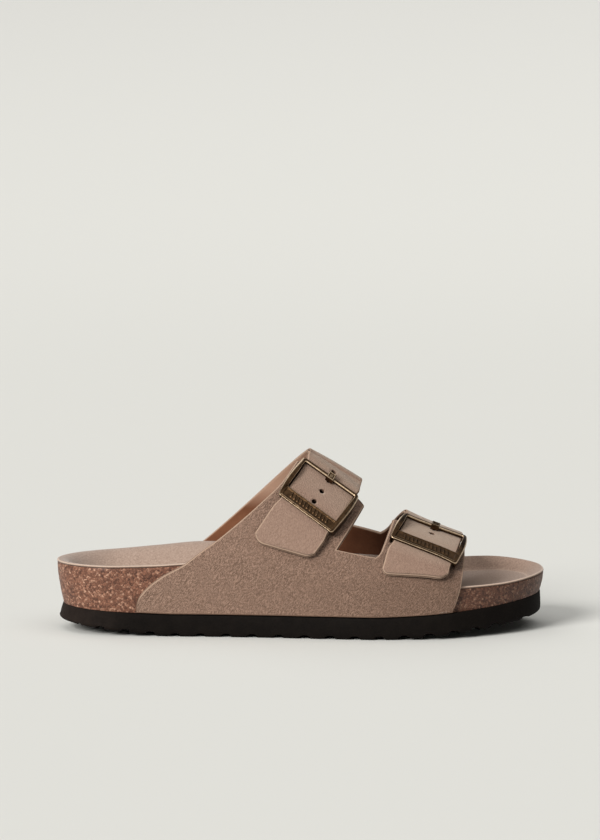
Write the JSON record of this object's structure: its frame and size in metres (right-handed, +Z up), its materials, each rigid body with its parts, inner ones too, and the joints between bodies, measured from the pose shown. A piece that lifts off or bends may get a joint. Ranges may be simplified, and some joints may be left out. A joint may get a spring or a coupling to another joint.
{
  "type": "suede sandal",
  "caption": "Slip-on sandal with a contoured cork footbed, flat foam outsole and suede straps fastened by wide-plate buckles on the outer side",
  "frame": {"origin": "bottom centre of the whole sandal's bounding box, on the floor it stands on", "axes": "+X from the heel to the toe, +Y to the inner (arch) side, +Z up"},
  "size_m": [0.2598, 0.1016, 0.0962],
  "materials": {
    "outsole_foam": "matt near-black foam rubber",
    "cork": "ground cork with pale flecks, thin clear seal",
    "footbed_suede": "napped suede lining",
    "upper_suede": "napped taupe suede, paler raw edges",
    "buckle_metal": "dark antique brass with worn edges"
  },
  "bodies": {
    "root": {"outsole": "outsole_foam", "midsole_cork": "cork", "insole_footbed": "footbed_suede", "upper_outer_quarter": "upper_suede", "upper_inner_quarter_straps": "upper_suede", "buckle_frame_instep": "buckle_metal", "buckle_frame_toe": "buckle_metal", "buckle_prong_instep": "buckle_metal", "buckle_prong_toe": "buckle_metal"}
  },
  "joints": []
}
